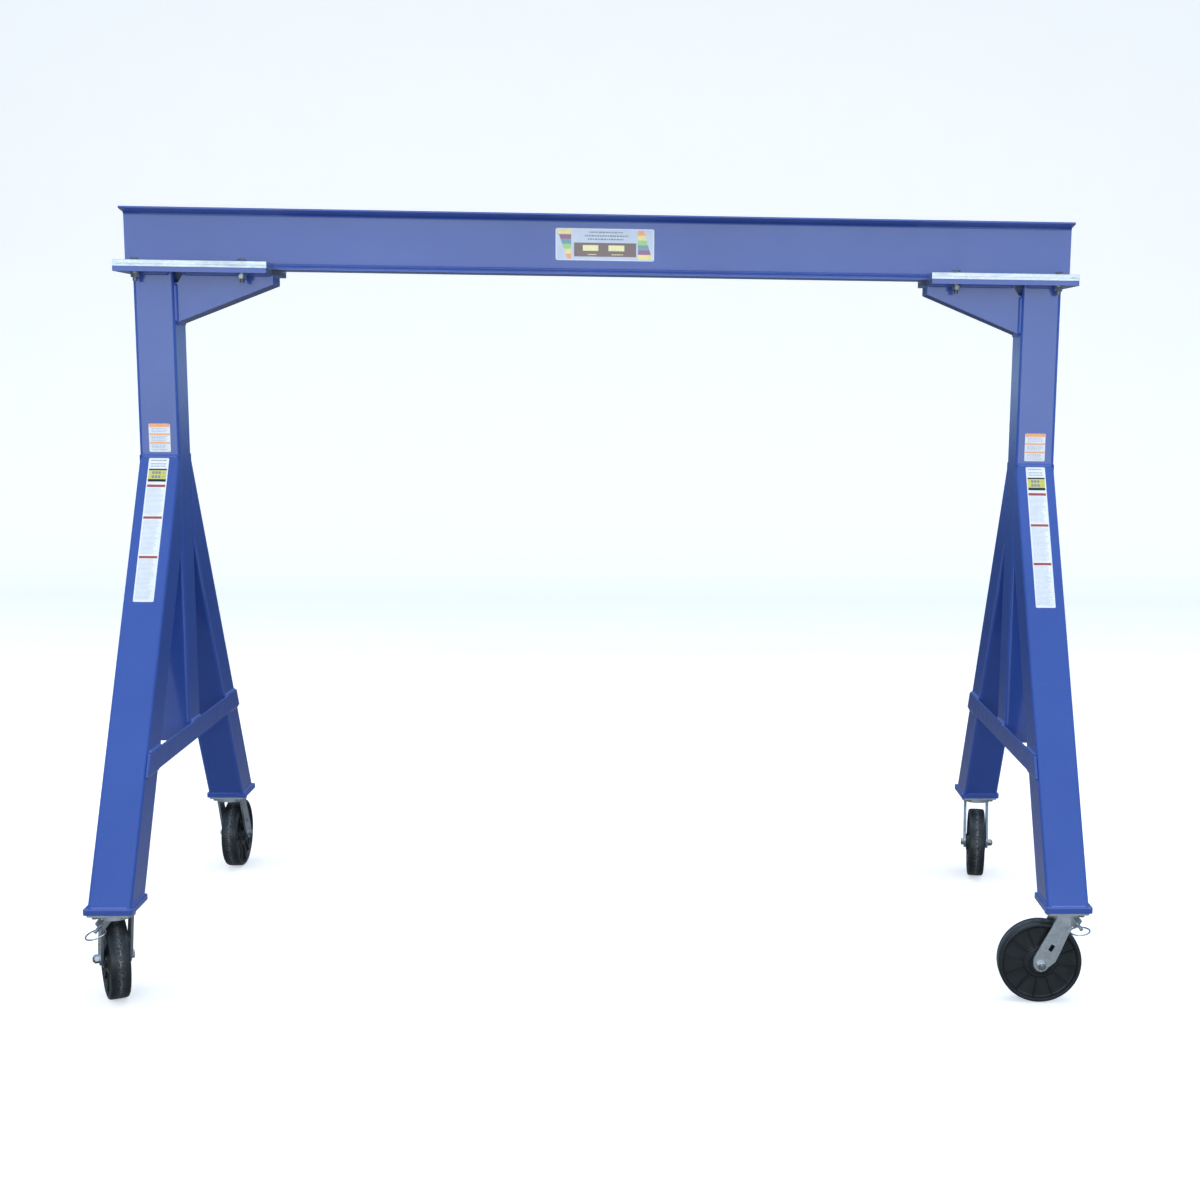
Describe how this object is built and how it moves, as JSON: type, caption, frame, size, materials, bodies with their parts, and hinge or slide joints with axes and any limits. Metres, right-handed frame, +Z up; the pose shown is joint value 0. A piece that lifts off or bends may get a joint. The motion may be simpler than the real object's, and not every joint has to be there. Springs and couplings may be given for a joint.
{
  "type": "portable gantry crane",
  "caption": "Fixed-height portable gantry crane: an I-beam clamped on two A-frame trestles with gussets and a cross brace, rolling on swivel casters with ring-pull locks.",
  "frame": {"origin": "on the floor, midway between the two trestles and under the beam's centre line", "axes": "+X along the beam to the right, +Y to the rear, +Z up"},
  "size_m": [2.4422, 1.2937, 1.911],
  "materials": {
    "blue_paint": "satin royal blue powder coat",
    "zinc_stamping": "bright zinc plated pressed steel",
    "zinc_hardware": "bright zinc plated bar and fasteners",
    "wheel_black": "satin moulded black",
    "bearing_steel": "polished hardened steel",
    "label_print": "printed vinyl"
  },
  "bodies": {
    "beam": {"i_beam": "blue_paint", "beam_label": "label_print"},
    "left_trestle": {"left_column": "blue_paint", "left_leg_front": "blue_paint", "left_leg_rear": "blue_paint", "left_cross_brace": "blue_paint", "left_top_plate": "blue_paint", "left_gusset": "blue_paint", "left_foot_plates": "blue_paint", "left_clamp_bars": "zinc_hardware", "left_clamp_spacers": "zinc_hardware", "left_clamp_bolts": "zinc_hardware", "left_clamp_nuts": "zinc_hardware", "left_caster_plates": "zinc_stamping", "left_kingpins": "zinc_hardware", "left_swivel_balls": "bearing_steel", "left_caster_bolts": "zinc_hardware", "left_labels": "label_print"},
    "right_trestle": {"right_column": "blue_paint", "right_leg_front": "blue_paint", "right_leg_rear": "blue_paint", "right_cross_brace": "blue_paint", "right_top_plate": "blue_paint", "right_gusset": "blue_paint", "right_foot_plates": "blue_paint", "right_clamp_bars": "zinc_hardware", "right_clamp_spacers": "zinc_hardware", "right_clamp_bolts": "zinc_hardware", "right_clamp_nuts": "zinc_hardware", "right_caster_plates": "zinc_stamping", "right_kingpins": "zinc_hardware", "right_swivel_balls": "bearing_steel", "right_caster_bolts": "zinc_hardware", "right_labels": "label_print"},
    "left_front_caster": {"left_front_fork": "zinc_stamping", "left_front_axle": "zinc_hardware", "left_front_lock_spring": "bearing_steel"},
    "left_front_wheel": {"left_front_wheel": "wheel_black", "left_front_wheel_bearing": "bearing_steel"},
    "left_front_lock_pin": {"left_front_lock_pin": "zinc_hardware"},
    "left_front_lock_ring": {"left_front_lock_ring": "zinc_hardware"},
    "left_rear_caster": {"left_rear_fork": "zinc_stamping", "left_rear_axle": "zinc_hardware"},
    "left_rear_wheel": {"left_rear_wheel": "wheel_black", "left_rear_wheel_bearing": "bearing_steel"},
    "right_front_caster": {"right_front_fork": "zinc_stamping", "right_front_axle": "zinc_hardware", "right_front_lock_spring": "bearing_steel"},
    "right_front_wheel": {"right_front_wheel": "wheel_black", "right_front_wheel_bearing": "bearing_steel"},
    "right_front_lock_pin": {"right_front_lock_pin": "zinc_hardware"},
    "right_front_lock_ring": {"right_front_lock_ring": "zinc_hardware"},
    "right_rear_caster": {"right_rear_fork": "zinc_stamping", "right_rear_axle": "zinc_hardware"},
    "right_rear_wheel": {"right_rear_wheel": "wheel_black", "right_rear_wheel_bearing": "bearing_steel"}
  },
  "joints": [
    {"name": "left_trestle_slide", "type": "slide", "parent": "beam", "child": "left_trestle", "axis": [1, 0, 0], "range_m": [0, 0.6]},
    {"name": "right_trestle_slide", "type": "slide", "parent": "beam", "child": "right_trestle", "axis": [-1, 0, 0], "range_m": [0, 0.6]},
    {"name": "left_front_swivel", "type": "hinge", "parent": "left_trestle", "child": "left_front_caster", "pos_m": [-1.1363, -0.521, 0.2349], "axis": [0, 0, 1], "continuous": true},
    {"name": "left_front_wheel_spin", "type": "hinge", "parent": "left_front_caster", "child": "left_front_wheel", "pos_m": [-1.15953, -0.47336, 0.1016], "axis": [-0.8988, -0.4384, 0], "continuous": true},
    {"name": "left_front_lock_pull", "type": "slide", "parent": "left_front_caster", "child": "left_front_lock_pin", "axis": [-0.3971, -0.7164, -0.5736], "range_m": [0, 0.008], "stiffness_N_per_m": 1200, "springref_m": -0.004},
    {"name": "left_front_ring_swing", "type": "hinge", "parent": "left_front_lock_pin", "child": "left_front_lock_ring", "pos_m": [-1.16422, -0.57137, 0.20308], "axis": [0.9657, 0.1345, 0.2222], "range_deg": [-30, 60]},
    {"name": "left_rear_swivel", "type": "hinge", "parent": "left_trestle", "child": "left_rear_caster", "pos_m": [-1.1363, 0.521, 0.2349], "axis": [0, 0, 1], "continuous": true},
    {"name": "left_rear_wheel_spin", "type": "hinge", "parent": "left_rear_caster", "child": "left_rear_wheel", "pos_m": [-1.1363, 0.574, 0.1016], "axis": [-1, 0, 0], "continuous": true},
    {"name": "right_front_swivel", "type": "hinge", "parent": "right_trestle", "child": "right_front_caster", "pos_m": [1.1363, -0.521, 0.2349], "axis": [0, 0, 1], "continuous": true},
    {"name": "right_front_wheel_spin", "type": "hinge", "parent": "right_front_caster", "child": "right_front_wheel", "pos_m": [1.08343, -0.5173, 0.1016], "axis": [-0.0698, -0.9976, 0], "continuous": true},
    {"name": "right_front_lock_pull", "type": "slide", "parent": "right_front_caster", "child": "right_front_lock_pin", "axis": [0.4219, -0.7022, -0.5736], "range_m": [0, 0.008], "stiffness_N_per_m": 1200, "springref_m": -0.004},
    {"name": "right_front_ring_swing", "type": "hinge", "parent": "right_front_lock_pin", "child": "right_front_lock_ring", "pos_m": [1.16596, -0.57036, 0.20308], "axis": [0.9628, -0.2494, 0.1041], "range_deg": [-30, 60]},
    {"name": "right_rear_swivel", "type": "hinge", "parent": "right_trestle", "child": "right_rear_caster", "pos_m": [1.1363, 0.521, 0.2349], "axis": [0, 0, 1], "continuous": true},
    {"name": "right_rear_wheel_spin", "type": "hinge", "parent": "right_rear_caster", "child": "right_rear_wheel", "pos_m": [1.12801, 0.46865, 0.1016], "axis": [0.9877, -0.1564, 0], "continuous": true}
  ]
}
